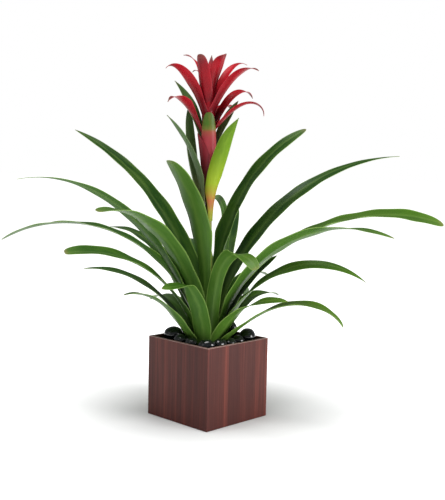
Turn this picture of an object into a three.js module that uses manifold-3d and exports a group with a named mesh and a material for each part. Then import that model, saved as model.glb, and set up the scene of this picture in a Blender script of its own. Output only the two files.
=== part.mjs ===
// Potted bromeliad: a rosette of strap leaves round a red bloom, in a square wooden planter
// topped with polished black river stones. Millimetres, +Z up, the planter's underside on Z = 0
// and its four boards facing +X, -X, +Y and -Y.
import * as THREE from "three";
import { mergeVertices } from "three/addons/utils/BufferGeometryUtils.js";
import Module from "manifold-3d";

// Planter
const PLANTER_SIDE = 127; // outside, board face to board face
const PLANTER_HEIGHT = 120;
const PLANTER_WALL = 4.5;
const PLANTER_FLOOR = 8;

// Liner, soil and stock
const FIT = 0.3; // gap between pieces that touch
const LINER_WALL = 1.5;
const LINER_TOP = 116;
const SOIL_TOP = 110;
const STOCK_RADIUS = 33;
const STOCK_BOTTOM = 84;
const STOCK_TOP = 104;

// Stem of the bloom
const SCAPE_RADIUS = 5;
const SCAPE_FOOT = STOCK_TOP + FIT + 0.1;
const SCAPE_FLARE_FROM = 325; // the stem widens from here up to the bloom
const SCAPE_TOP = 418;
const BLOOM_CORE_RADIUS = 10.4;
const LEAN = 1.1; // degrees that the stem, its bracts and the bloom lean, from their foot
const LEAN_SIDE = 134; // towards this side of the plant

// Leaf blades
const BLADE_THICKNESS = 0.8;
const BLADE_ACROSS = 4; // facets across a blade
const FACET_LENGTH = 28; // along a leaf
const BRACT_FACET_LENGTH = 11;
const LEAF_FOOT = STOCK_TOP + FIT;
const LEAF_CHANNEL = 48; // a blade never lies flatter than a cylinder of this radius
const TIP_HALF_WIDTH = 0.6;

// Every leaf and bract is drawn by the same rule. It stands upright at its foot, on a ring round
// the plant's axis, and bends over as it goes:
//   azimuth  side of the plant it grows on, degrees from +X towards +Y
//   ring     distance of its foot from the axis
//   length   along the blade
//   rise     climb where it leaves the sheath, degrees above level
//   end      climb at its tip
//   late     1 bends evenly, more keeps the bend for the tip
//   swing    sideways turn from foot to tip, degrees
//   roll     turn of the blade about its own line, degrees
//   twist    more of that turn, kept for the outer part
//   width    across the blade
//   wrap     most degrees round the axis that each half of it covers
//   open     how fast that limit grows as the blade leaves the axis
//   sheath   length of the upright foot
//   tip      how late the blade starts to narrow
//   blunt    under 1 rounds the tip off
//   fold     sharp bend over, degrees, at foldAt of the length
//   foldTurn sideways turn at that bend, degrees
const LEAF_HABIT = { late: 1.5, swing: 0, roll: 0, twist: 0, width: 34, wrap: 44, sheath: 40, tip: 4.5,
  blunt: 0.75, fold: 0, foldAt: 0.7, foldTurn: 0, foot: LEAF_FOOT, clasp: 0.12, channel: LEAF_CHANNEL,
  open: 0 };

const LEAVES = {
  leaf_front_upright: { azimuth: 188, ring: 9, length: 299, rise: 88.3, end: 43, late: 2.13, swing: -9,
    roll: 6, twist: -9, width: 42, sheath: 60, tip: 10.3, blunt: 0.35 },
  leaf_right_tall: { azimuth: 351, ring: 9, length: 378, rise: 88.5, end: 29, late: 1.74, swing: -35,
    roll: 16, twist: 24, width: 42, sheath: 130, tip: 3.3, blunt: 0.5 },
  leaf_left_tall: { azimuth: 94, ring: 9, length: 450, rise: 87.9, end: 21, late: 0.77, swing: 10,
    roll: -9, twist: -23, width: 42, sheath: 60, wrap: 40, tip: 2.2, blunt: 0.8 },
  leaf_right_long: { azimuth: 337, ring: 11.5, length: 472, rise: 88.4, end: 3, late: 0.89, swing: -2,
    roll: 26, twist: -4, width: 42, sheath: 50, wrap: 36, tip: 2.1, blunt: 1.15 },
  leaf_left_broad: { azimuth: 173, ring: 11.5, length: 316, rise: 74.8, end: -8, late: 1.86, swing: 7,
    roll: 9, twist: -15, width: 40, sheath: 50, tip: 9.9, blunt: 0.3 },
  leaf_back_curled: { azimuth: 25, ring: 11.5, length: 265, rise: 65, end: 199, late: 4.5, swing: -6,
    roll: 60, width: 15, sheath: 50, wrap: 12, tip: 7, blunt: 0.45 },
  leaf_left_long: { azimuth: 146, ring: 13.6, length: 405, rise: 67.6, end: -12, late: 2, swing: 6,
    roll: 39, twist: -31, width: 34, sheath: 50, wrap: 34, tip: 2, blunt: 1.05 },
  leaf_back_dark: { azimuth: 30, ring: 14, length: 296, rise: 75.9, end: 21, late: 0.77, swing: 4,
    roll: 3, twist: -4, width: 32, sheath: 50, wrap: 32, tip: 3.8, blunt: 0.8 },
  leaf_right_reaching: { azimuth: 323, ring: 14, length: 466, rise: 84.6, end: -17, late: 0.77, swing: 7,
    roll: 4, twist: 33, width: 38, sheath: 45, wrap: 34, tip: 10.6, blunt: 0.45 },
  leaf_right_slim: { azimuth: 284, ring: 16.5, length: 364, rise: 77, end: -20, late: 1.24, swing: 12,
    roll: -28, twist: 46, width: 31, wrap: 22, tip: 4.2, blunt: 0.65 },
  leaf_left_reaching: { azimuth: 123, ring: 17, length: 416, rise: 84.7, end: -30, late: 0.94, swing: 4,
    roll: 1, twist: 3, width: 36, tip: 7.6, blunt: 0.55 },
  leaf_back_1: { azimuth: 52, ring: 16.5, length: 330, rise: 71, end: -35, late: 1.3, sheath: 45,
    wrap: 24 },
  leaf_right_narrow: { azimuth: 328, ring: 19, length: 169, rise: 69.1, end: 32, late: 1.76, swing: 2,
    roll: 7, twist: 14, width: 24, tip: 5.3, blunt: 0.75 },
  leaf_left_rear: { azimuth: 84, ring: 21.5, length: 326, rise: 65, end: -7, late: 1.19, swing: 4,
    roll: -2, twist: -5, width: 28, sheath: 35, wrap: 24, tip: 4.6, blunt: 0.75 },
  leaf_right_arched: { azimuth: 289, ring: 21.5, length: 289, rise: 67.6, end: -37, late: 1.53,
    swing: 11, roll: 34, twist: 20, width: 33, sheath: 35, wrap: 22, tip: 2, blunt: 0.9 },
  leaf_left_blunt: { azimuth: 153, ring: 21.5, length: 274, rise: 76, end: -9, late: 1.11, swing: 3,
    roll: -14, twist: -6, width: 35, sheath: 35, wrap: 30, tip: 8.2, blunt: 0.3 },
  leaf_back_2: { azimuth: 14, ring: 21.5, length: 220, rise: 62, end: -25, late: 1.4, wrap: 40 },
  leaf_front_folded_right: { azimuth: 235, ring: 24, length: 237, rise: 87.4, end: -31, late: 2.05,
    swing: 31, roll: -52, twist: 91, width: 21, sheath: 35, wrap: 24, fold: 13, foldAt: 0.7,
    foldTurn: -6, tip: 11.9, blunt: 0.3 },
  leaf_left_slim: { azimuth: 136, ring: 24, length: 220, rise: 57.5, end: -9, late: 1.68, swing: -2,
    roll: -7, twist: -3, width: 28, sheath: 30, tip: 4.2, blunt: 0.75 },
  leaf_back_3: { azimuth: 56, ring: 24, length: 290, rise: 56, end: -40, late: 1.3, sheath: 35,
    wrap: 34 },
  leaf_front_short: { azimuth: 261, ring: 26.5, length: 181, rise: 77.9, end: 1, late: 0.68, swing: 9,
    roll: 14, twist: 23, width: 29, sheath: 30, wrap: 30, tip: 4, blunt: 0.85 },
  leaf_back_4: { azimuth: 358, ring: 26.5, length: 165, rise: 60, end: -25, late: 1.4, sheath: 30,
    wrap: 22 },
  leaf_front_folded_left: { azimuth: 208, ring: 29, length: 170, rise: 80.6, end: 36, late: 0.9,
    swing: -33, roll: 6, twist: -40, width: 29, sheath: 30, wrap: 24, fold: 43, foldAt: 0.68,
    foldTurn: 8, tip: 4.7, blunt: 0.7 },
  leaf_right_low: { azimuth: 290, ring: 29, length: 217, rise: 43.3, end: -58, late: 2.15, swing: 17,
    roll: 4, twist: -1, width: 34, sheath: 25, wrap: 40, tip: 8.9, blunt: 0.3 },
  leaf_back_5: { azimuth: 28, ring: 29, length: 235, rise: 47, end: -42, late: 1.4, sheath: 30,
    wrap: 24 },
  leaf_back_6: { azimuth: 78, ring: 29, length: 180, rise: 42, end: -30, late: 1.6, sheath: 25,
    wrap: 24 },
  leaf_left_low: { azimuth: 167, ring: 31, length: 156, rise: 55.5, end: -10, late: 2.24, swing: 3,
    roll: -3, twist: 11, width: 32, sheath: 25, wrap: 28, tip: 8.1, blunt: 0.5 },
};

// Green bracts clasp the stem under the bloom
const BRACT_HABIT = { ...LEAF_HABIT, width: 22, wrap: 80, sheath: 8, tip: 3.2, blunt: 0.8, clasp: 0,
  channel: 16, open: 1 };

const GREEN_BRACTS = {
  bract_yellow_green: { azimuth: 265, ring: 6, foot: 295, length: 170, rise: 87, end: 35, late: 1.4,
    swing: -7, roll: -37, twist: 26, width: 26, wrap: 42, tip: 4.4, blunt: 1 },
  bract_left: { azimuth: 168, ring: 8, foot: 311, length: 160, rise: 83, end: 32, late: 1.48, swing: 15,
    roll: -7, twist: 21, width: 20, wrap: 17, tip: 2.5, blunt: 1 },
  bract_left_inner: { azimuth: 113, ring: 7, foot: 309, length: 163, rise: 52.4, end: 94.6, late: 0.5,
    swing: -6, roll: -12, twist: -5, width: 27, wrap: 26, tip: 5.3, blunt: 1 },
  bract_left_rear: { azimuth: 115, ring: 10, foot: 399, length: 116, rise: 78, end: 43, late: 1.9,
    swing: -8, roll: -31, twist: 21, width: 22, wrap: 22, tip: 3.8, blunt: 0.9 },
  bract_right_rear: { azimuth: 341, ring: 10, foot: 397, length: 89, rise: 69, end: 44, late: 1.9,
    swing: 11, roll: 26, twist: 7, width: 19, wrap: 22, tip: 2.6 },
};

// Pink bracts clasp the bloom's neck: a broad one in front and a darker one on its left
const NECK_BRACTS = {
  bract_neck: { azimuth: 228, ring: 6.7, foot: 333, length: 122, rise: 85, end: 88, late: 1.4, width: 29,
    tip: 3.2, blunt: 0.35, channel: 14 },
  bract_neck_left: { azimuth: 150, ring: 8.8, foot: 345, length: 80, rise: 86, end: 82, late: 1.4,
    width: 40, wrap: 60, tip: 4, blunt: 0.8, channel: 14 },
};
const NECK_ACROSS = 8;

// Red bracts grow out of the core of the bloom
const RED_HABIT = { ...BRACT_HABIT, foot: 440, ring: 8 };

const RED_BRACTS = [
  { azimuth: 154, ring: 9, foot: 446, length: 113, rise: 71.4, end: -45, late: 3.13, swing: 29, roll: 28,
    twist: 5, width: 27, tip: 2.1, blunt: 1.1 },
  { azimuth: 163, ring: 9.5, foot: 419, length: 103, rise: 62, end: -51, late: 2.6, swing: 32, roll: 4,
    twist: -12, width: 28, wrap: 10, tip: 3.2, blunt: 1.2 },
  { azimuth: 195, foot: 453, length: 86, rise: 82, end: 72, late: 1.9, roll: -7, width: 25, tip: 6.5,
    blunt: 0.4 },
  { azimuth: 79, ring: 7, foot: 471, length: 102, rise: 78.1, end: 1, late: 1.86, swing: 4, roll: 22,
    twist: 17, width: 19, tip: 2.3, blunt: 1.05 },
  { azimuth: 284, foot: 472, length: 76, rise: 79.8, end: 5, late: 3.82, swing: -29, roll: -1, twist: 17,
    width: 25, tip: 6.6, blunt: 0.9 },
  { azimuth: 39, ring: 6, foot: 468, length: 77, rise: 79, end: 65, late: 1.1, swing: -7, width: 16,
    tip: 2.6 },
  { azimuth: 102, foot: 462, length: 68, rise: 89, end: -48, late: 4.8, width: 15 },
  { azimuth: 341, foot: 458, length: 107, rise: 70.1, end: -22, late: 2.85, swing: 18, roll: 15,
    twist: 1, width: 23, tip: 2, blunt: 1 },
  { azimuth: 292, ring: 9, foot: 452, length: 114, rise: 63, end: -31, late: 2.2, swing: -27, roll: -8,
    twist: 16, width: 23, tip: 2.7 },
  { azimuth: 338, ring: 9.5, foot: 429, length: 108, rise: 62, end: -55, late: 2.8, swing: 25, roll: 14,
    twist: 5, width: 23, tip: 2.9, blunt: 0.75 },
  { azimuth: 296, ring: 9.5, foot: 425, length: 105, rise: 46, end: -97, late: 3.1, swing: -7, roll: -7,
    twist: -29, width: 16, wrap: 14, tip: 3.1, blunt: 0.7 },
  { azimuth: 230, ring: 8.6, foot: 430, length: 86, rise: 88, end: 90, late: 1.4, width: 27, tip: 4,
    blunt: 0.7 },
  { azimuth: 12, ring: 9.5, foot: 424, length: 84, rise: 62, end: -50, late: 2.4, width: 22 },
  { azimuth: 48, ring: 9.5, foot: 428, length: 86, rise: 64, end: -45, late: 2.6, width: 20 },
  { azimuth: 46, ring: 9, foot: 446, length: 88, rise: 74, end: -20, late: 2.6, width: 24 },
];

// Stones lie on the soil: centre, length, width and height, and the turn of the long side
const STONES = [
  { x: -37, y: 37, long: 31, wide: 27, tall: 25, turn: 135 },
  { x: -47, y: 12, long: 22, wide: 19, tall: 18, turn: 90 },
  { x: -46, y: -11, long: 21, wide: 19, tall: 16, turn: 80 },
  { x: -45, y: -42, long: 26, wide: 20, tall: 18, turn: 135 },
  { x: -22, y: -46, long: 22, wide: 19, tall: 17, turn: 0 },
  { x: -1, y: -47, long: 19, wide: 18, tall: 15, turn: 0 },
  { x: 18, y: -45, long: 18, wide: 19, tall: 17, turn: 0 },
  { x: 42, y: -41, long: 30, wide: 26, tall: 24, turn: 45 },
  { x: 48.5, y: -1, long: 20, wide: 16, tall: 29, turn: 90 },
  { x: 48, y: 19, long: 18, wide: 17, tall: 16, turn: 90 },
  { x: 41, y: 41, long: 29, wide: 23, tall: 20, turn: 135 },
  { x: 12, y: 47, long: 22, wide: 18, tall: 15, turn: 0 },
  { x: -12, y: 47, long: 21, wide: 17, tall: 17, turn: 5 },
];

const wasm = await Module();
wasm.setup();

const radians = (degrees) => (degrees * Math.PI) / 180;
const part = new THREE.Group();
part.name = "potted_bromeliad";

// 0 before a, 1 after b, with an even start and stop between
function ease(a, b, x) {
  const t = Math.min(Math.max((x - a) / (b - a), 0), 1);
  return t * t * (3 - 2 * t);
}

// Climb and side of the blade at u along its length, both in radians
function heading(leaf, u) {
  let climb = leaf.rise + (leaf.end - leaf.rise) * u ** leaf.late;
  climb = 90 + (climb - 90) * ease(0, leaf.sheath / leaf.length, u);
  climb -= leaf.fold * ease(leaf.foldAt - 0.04, leaf.foldAt + 0.04, u);
  let side = leaf.azimuth + leaf.swing * ease(0.05, 1, u);
  side += leaf.foldTurn * ease(leaf.foldAt - 0.04, leaf.foldAt + 0.04, u);
  return [radians(climb), radians(side)];
}

function direction([climb, side]) {
  return new THREE.Vector3(
    Math.cos(climb) * Math.cos(side),
    Math.cos(climb) * Math.sin(side),
    Math.sin(climb),
  );
}

function halfWidth(leaf, u) {
  const narrowing = Math.max(1 - u ** leaf.tip, 0) ** leaf.blunt;
  const clasp = 1 + leaf.clasp * (1 - ease(0, 0.22, u));
  return Math.max((leaf.width / 2) * narrowing * clasp, TIP_HALF_WIDTH);
}

// One row of points across the blade at u, on its upper face and on its lower face
function crossRow(leaf, point, u, across) {
  const [climb, side] = heading(leaf, u);
  const along = direction([climb, side]);
  const level = new THREE.Vector3(-Math.sin(side), Math.cos(side), 0);
  const up = new THREE.Vector3().crossVectors(along, level);
  const roll = radians(leaf.roll * ease(0.1, 0.7, u) + leaf.twist * ease(0.6, 1, u));
  const over = level.clone().multiplyScalar(Math.cos(roll)).addScaledVector(up, Math.sin(roll));
  const lift = up.clone().multiplyScalar(Math.cos(roll)).addScaledVector(level, -Math.sin(roll));
  const reach = Math.hypot(point.x, point.y);
  const bend = Math.min(Math.max(reach, leaf.ring), leaf.channel);
  const limit = radians(leaf.wrap) * (1 + leaf.open * Math.max(reach / leaf.ring - 1, 0));
  const spread = Math.min(halfWidth(leaf, u) / bend, limit);
  const faces = [[], []];
  for (let j = 0; j <= across; j++) {
    const angle = spread * ((2 * j) / across - 1);
    [1, -1].forEach((face, k) => {
      const radius = bend - (face * BLADE_THICKNESS) / 2;
      faces[k].push(
        point
          .clone()
          .addScaledVector(over, radius * Math.sin(angle))
          .addScaledVector(lift, bend - radius * Math.cos(angle)),
      );
    });
  }
  return faces;
}

// A leaf with a sharp fold or a curled tip has more facets
function facetRows(leaf) {
  const facet = leaf.channel === LEAF_CHANNEL ? FACET_LENGTH : BRACT_FACET_LENGTH;
  const fewest = leaf.fold > 0 || leaf.end > 90 ? 14 : 8;
  return Math.max(Math.round(leaf.length / facet), fewest);
}

// A closed blade: its upper and lower faces are split into triangles alike
function bladeGeometry(leaf, across = BLADE_ACROSS) {
  const rows = facetRows(leaf);
  const foot = radians(leaf.azimuth);
  const point = new THREE.Vector3(leaf.ring * Math.cos(foot), leaf.ring * Math.sin(foot), leaf.foot);
  const upper = [];
  const lower = [];
  for (let i = 0; i <= rows; i++) {
    const [top, bottom] = crossRow(leaf, point, i / rows, across);
    upper.push(...top);
    lower.push(...bottom);
    for (let k = 0; k < 4; k++) {
      const u = (i + (k + 0.5) / 4) / rows;
      point.addScaledVector(direction(heading(leaf, u)), leaf.length / rows / 4);
    }
  }
  const under = upper.length;
  const at = (i, j) => i * (across + 1) + j;
  const index = [];
  const quad = (a, b, c, d) => index.push(a, b, c, a, c, d);
  for (let i = 0; i < rows; i++) {
    for (let j = 0; j < across; j++) {
      const corners = [at(i, j), at(i + 1, j), at(i + 1, j + 1), at(i, j + 1)];
      const [a, b, c, d] = corners;
      index.push(a, b, c, a, c, d);
      index.push(under + a, under + c, under + b, under + a, under + d, under + c);
    }
    quad(at(i, 0), under + at(i, 0), under + at(i + 1, 0), at(i + 1, 0));
    quad(at(i, across), at(i + 1, across), under + at(i + 1, across), under + at(i, across));
  }
  for (let j = 0; j < across; j++) {
    quad(at(0, j), at(0, j + 1), under + at(0, j + 1), under + at(0, j));
    quad(at(rows, j), under + at(rows, j), under + at(rows, j + 1), at(rows, j + 1));
  }
  const geometry = new THREE.BufferGeometry().setFromPoints([...upper, ...lower]);
  geometry.setIndex(index);
  return facingOut(geometry);
}

// Turns the faces round if they point inwards
function facingOut(geometry) {
  const solid = new wasm.Manifold(meshData(geometry));
  if (solid.volume() < 0) {
    const index = geometry.index.array;
    for (let i = 0; i < index.length; i += 3) {
      [index[i + 1], index[i + 2]] = [index[i + 2], index[i + 1]];
    }
  }
  return geometry;
}

function meshData(geometry) {
  return new wasm.Mesh({
    numProp: 3,
    vertProperties: new Float32Array(geometry.attributes.position.array),
    triVerts: new Uint32Array(geometry.index.array),
  });
}

function solidOf(geometry) {
  const plain = geometry.clone();
  plain.deleteAttribute("normal");
  plain.deleteAttribute("uv");
  return new wasm.Manifold(meshData(mergeVertices(plain, 1e-3)));
}

function geometryOf(solid) {
  const mesh = solid.getMesh();
  const geometry = new THREE.BufferGeometry();
  const position = new Float32Array(mesh.vertProperties);
  geometry.setAttribute("position", new THREE.BufferAttribute(position, mesh.numProp));
  geometry.setIndex(new THREE.BufferAttribute(new Uint32Array(mesh.triVerts), 1));
  return geometry;
}

function block(side, bottom, top) {
  const geometry = new THREE.BoxGeometry(side, side, top - bottom);
  return geometry.translate(0, 0, (top + bottom) / 2);
}

// A solid of revolution about the plant's axis, from [radius, height] pairs that run upwards
function turned(profile, segments) {
  const points = profile.map(([radius, height]) => new THREE.Vector2(radius, height));
  return new THREE.LatheGeometry(points, segments).rotateX(Math.PI / 2);
}

// Leans a piece of the bloom's stem over from the foot of the stem
function leaned(geometry) {
  const side = radians(LEAN_SIDE);
  const hinge = new THREE.Vector3(-Math.sin(side), Math.cos(side), 0);
  const tilt = new THREE.Matrix4().makeRotationAxis(hinge, radians(LEAN));
  return geometry.translate(0, 0, -SCAPE_FOOT).applyMatrix4(tilt).translate(0, 0, SCAPE_FOOT);
}

function add(name, geometry, color, roughness, metalness = 0) {
  const material = new THREE.MeshStandardMaterial({ color, roughness, metalness, flatShading: true });
  const mesh = new THREE.Mesh(geometry, material);
  mesh.name = name;
  part.add(mesh);
}

function addPlanter() {
  const outside = solidOf(block(PLANTER_SIDE, 0, PLANTER_HEIGHT));
  const inside = solidOf(block(PLANTER_SIDE - 2 * PLANTER_WALL, PLANTER_FLOOR, PLANTER_HEIGHT + 1));
  add("planter", geometryOf(outside.subtract(inside)), 0x6b3a30, 0.45);
}

function addLiner() {
  const side = PLANTER_SIDE - 2 * PLANTER_WALL - 2 * FIT;
  const bottom = PLANTER_FLOOR + FIT;
  const outside = solidOf(block(side, bottom, LINER_TOP));
  const inside = solidOf(block(side - 2 * LINER_WALL, bottom + LINER_WALL, LINER_TOP + 1));
  add("liner", geometryOf(outside.subtract(inside)), 0x151515, 0.5);
}

// The soil fills the liner up to the stones and has a plain hole for the stock
function addSoil() {
  const side = PLANTER_SIDE - 2 * (PLANTER_WALL + LINER_WALL + 2 * FIT);
  const bottom = PLANTER_FLOOR + LINER_WALL + 2 * FIT;
  const fill = solidOf(block(side, bottom, SOIL_TOP));
  const hole = solidOf(
    turned(
      [
        [0, STOCK_BOTTOM - FIT],
        [STOCK_RADIUS + FIT, STOCK_BOTTOM - FIT],
        [STOCK_RADIUS + FIT, SOIL_TOP + 1],
        [0, SOIL_TOP + 1],
      ],
      32,
    ),
  );
  add("soil", geometryOf(fill.subtract(hole)), 0x2e2119, 0.95);
}

function addStock() {
  const profile = [
    [0, STOCK_BOTTOM],
    [STOCK_RADIUS, STOCK_BOTTOM],
    [STOCK_RADIUS, STOCK_TOP],
    [0, STOCK_TOP],
  ];
  add("rootstock", geometryOf(solidOf(turned(profile, 32))), 0x5d4a2c, 0.9);
}

function addScape() {
  const profile = [
    [0, SCAPE_FOOT],
    [SCAPE_RADIUS + 0.6, SCAPE_FOOT],
    [SCAPE_RADIUS, 200],
    [SCAPE_RADIUS, SCAPE_FLARE_FROM],
    [6.8, 360],
    [9, 395],
    [10, SCAPE_TOP],
    [0, SCAPE_TOP],
  ];
  add("scape", leaned(geometryOf(solidOf(turned(profile, 20)))), 0x4a1a1c, 0.5);
}

function addBloom() {
  const core = [
    [0, SCAPE_TOP + FIT],
    [BLOOM_CORE_RADIUS, SCAPE_TOP + FIT],
    [BLOOM_CORE_RADIUS, 430],
    [9.4, 448],
    [8.4, 476],
    [6, 492],
    [0, 500],
  ];
  let bloom = solidOf(turned(core, 20));
  for (const bract of RED_BRACTS) {
    bloom = bloom.add(new wasm.Manifold(meshData(bladeGeometry({ ...RED_HABIT, ...bract }))));
  }
  // The bracts' feet shut tiny pockets in between them; the outer skin alone is the bloom
  const skins = bloom.decompose().sort((a, b) => b.volume() - a.volume());
  add("bloom", leaned(geometryOf(skins[0])), 0xb01f30, 0.45);
}

function addStones() {
  STONES.forEach((stone, i) => {
    const pebble = new THREE.SphereGeometry(1, 12, 8).rotateX(Math.PI / 2);
    pebble.scale(stone.long / 2, stone.wide / 2, stone.tall / 2);
    pebble.rotateZ(radians(stone.turn));
    pebble.translate(stone.x, stone.y, SOIL_TOP + FIT + stone.tall / 2);
    const name = "stone_" + String(i + 1).padStart(2, "0");
    add(name, geometryOf(solidOf(pebble)), 0x14171c, 0.15);
  });
}

addPlanter();
addLiner();
addSoil();
addStock();
for (const [name, leaf] of Object.entries(LEAVES)) {
  add(name, bladeGeometry({ ...LEAF_HABIT, ...leaf }), 0x2f5f22, 0.4);
}
addScape();
for (const [name, bract] of Object.entries(GREEN_BRACTS)) {
  const color = name === "bract_yellow_green" ? 0x8fb637 : 0x3f6f2c;
  add(name, leaned(bladeGeometry({ ...BRACT_HABIT, ...bract })), color, 0.45);
}
for (const [name, bract] of Object.entries(NECK_BRACTS)) {
  const color = name === "bract_neck" ? 0xa93a4c : 0x571a22;
  add(name, leaned(bladeGeometry({ ...BRACT_HABIT, ...bract }, NECK_ACROSS)), color, 0.4);
}
addBloom();
addStones();

export default part;
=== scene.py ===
"""Looks of the potted bromeliad: fine leaves, bracts, stem and stones, and procedural finishes for all
of it, on a plain white floor. Metres, +Z up, the planter's underside at Z = 0."""

import math
import random

import bmesh
import bpy
import numpy as np
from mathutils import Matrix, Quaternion, Vector, noise


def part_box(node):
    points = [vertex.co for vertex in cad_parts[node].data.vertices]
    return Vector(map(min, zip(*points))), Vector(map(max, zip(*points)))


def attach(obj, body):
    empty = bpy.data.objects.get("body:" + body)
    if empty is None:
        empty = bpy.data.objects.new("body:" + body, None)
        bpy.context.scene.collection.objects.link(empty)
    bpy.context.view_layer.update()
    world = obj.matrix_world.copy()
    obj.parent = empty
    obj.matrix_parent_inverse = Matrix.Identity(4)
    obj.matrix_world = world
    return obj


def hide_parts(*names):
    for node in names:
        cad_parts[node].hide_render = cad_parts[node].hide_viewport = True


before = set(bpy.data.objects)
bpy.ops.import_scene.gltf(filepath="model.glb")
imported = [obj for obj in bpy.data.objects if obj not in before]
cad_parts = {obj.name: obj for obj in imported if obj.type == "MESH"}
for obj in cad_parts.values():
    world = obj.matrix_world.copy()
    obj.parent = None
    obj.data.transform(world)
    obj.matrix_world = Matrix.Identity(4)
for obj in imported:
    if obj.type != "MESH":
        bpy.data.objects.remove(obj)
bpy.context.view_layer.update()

SEED = 7
MM = 0.001

# Camera, as in the photograph: metres, degrees, and millimetres for the lens
CAMERA_PLACE = (-0.9059, -0.9114, 0.3749)
CAMERA_HEADING = 44.36  # from +X towards +Y
CAMERA_DROP = 5.47  # below level
CAMERA_ROLL = 1.25
CAMERA_LENS = 62.12
CAMERA_SENSOR = 36  # for the longer side of the picture

# Lights, in metres and watts, and the place that they are aimed at
LIGHT_AIM = (0, 0, 0.3)
LIGHTS = dict(
    overhead=dict(place=(-0.55, -0.05, 2.2), size=(1.3, 1.3), power=38),
    front_right=dict(place=(0.45, -2.0, 0.5), size=(1.0, 0.9), power=30),
    front_left=dict(place=(-2.0, 0.2, 1.2), size=(1.0, 1.2), power=2),
)
SKY_COLOUR = (0.96, 0.98, 1.0, 1)
SKY_STRENGTH = 0.25
WHITE = (1, 1, 1, 1)

# Floor, in metres: it glows a little near the plant, and turns to plain white further off
FLOOR_RADIUS = 30
FLOOR_SIDES = 96
FLOOR_DROP = 0.0005  # below the planter's underside
FLOOR_GLOW = 0.08
FLOOR_NEAR = 0.08
FLOOR_FAR = 0.42

# Finishes of the planter and the stem, in metres
STRIP_WIDTH = 0.013  # of the planter's veneer
STRIP_DRIFT = 2.1  # how fast that width changes from strip to strip
BOARD_EDGE = 0.0007  # height of the pale edge on top of the boards
STEM_GREEN_TO = 0.27  # height where the stem starts to turn from green to red
STEM_RED_FROM = 0.32

# Finishes of the blades
TONE_PALE = 0.75  # share of the pale colour at tone 1
TONE_DARK = 0.8  # share of the dark colour at tone -1
TONE_SHIFT = 7.3  # sets the patterns of blades of unlike tone apart

# Meshes
CREASE = 50  # degrees; sharper edges stay sharp
TURN_SEGMENTS = 40  # of the stem and of the bloom's core
TURN_ROWS = 120
PEBBLE_DETAIL = 5  # how often each face of a pebble is split
PEBBLE_LUMP = 0.07  # share of a pebble's size by which it is uneven
LUMP_SCALE = 1.1  # how fine its lumps are
LUMP_SHIFT = 3.7  # from one pebble's pattern to the next

# Blades: millimetres, as in the part
BLADE_THICKNESS = 0.8
EDGE_THICKNESS = 0.45
TIP_HALF_WIDTH = 0.6
LEAF_ROW = 2.6  # length of a row of faces
BRACT_ROW = 1.3
LEAF_ACROSS = 18  # faces from edge to edge
BRACT_ACROSS = 14
TIP_CROWDING = 1.35  # rows lie closer together towards a tip
LINE_STEPS = 600  # straight steps that a blade's own line is made of
REACH = 0.9975  # share of its length that a fine, rounder tip needs to stay within the part
GROOVE_WIDTH = 0.16  # as a share of the blade's half width
SHORT_WAVE = 9  # length along the blade for one radian of the waves of its edges
LONG_WAVE = 15
LONG_WAVE_SHARE = 0.6
WAVE_START = (0, 6)  # radians

# Where along a blade these grow or fade, as shares of its length; relief is its groove and waves
SWING_SPAN = (0.05, 1)
ROLL_SPAN = (0.1, 0.7)
TWIST_SPAN = (0.6, 1)
RELIEF_SPAN = (0.12, 0.35)
RELIEF_FADE = (0.85, 1)
CLASP_FADE = (0, 0.22)
FOLD_HALF = 0.04  # what a fold takes up on each side of its place

# A leaf or bract stands upright at its foot, on a ring round the plant's axis, and bends over:
#   azimuth  side of the plant it grows on, degrees from +X towards +Y
#   ring     distance of its foot from the axis
#   length   along the blade
#   rise     climb where it leaves the sheath, degrees above level
#   end      climb at its tip
#   late     1 bends evenly, more keeps the bend for the tip
#   swing    sideways turn from foot to tip, degrees
#   roll     turn of the blade about its own line, degrees
#   twist    more of that turn, kept for the outer part
#   width    across the blade
#   wrap     most degrees round the axis that each half of it covers
#   open     how fast that limit grows as the blade leaves the axis
#   sheath   length of the upright foot
#   tip      how late the blade starts to narrow
#   blunt    under 1 rounds the tip off
#   fold     sharp bend over, degrees, at foldAt of the length
#   foldTurn sideways turn at that bend, degrees
#   foot     height of its foot
#   clasp    how much wider it is at its foot, as a share
#   channel  largest radius of its curve from edge to edge
#   groove   depth of the groove along its middle
#   wave     height of the waves of its edges
#    tone     -1 darker, 1 paler: partly the blade's own tone, partly painted light and shade
# Most values of the leaves and bracts that the photograph shows come from a fit to it, rounded.
LEAF_HABIT = dict(
    swing=0, roll=0, twist=0, width=34, wrap=44, sheath=40, tip=4.5, blunt=0.75, fold=0, foldAt=0.7,
    foldTurn=0, foot=104.3, clasp=0.12, channel=48, open=0, groove=0.5, wave=0.7, tone=0,
)

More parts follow.
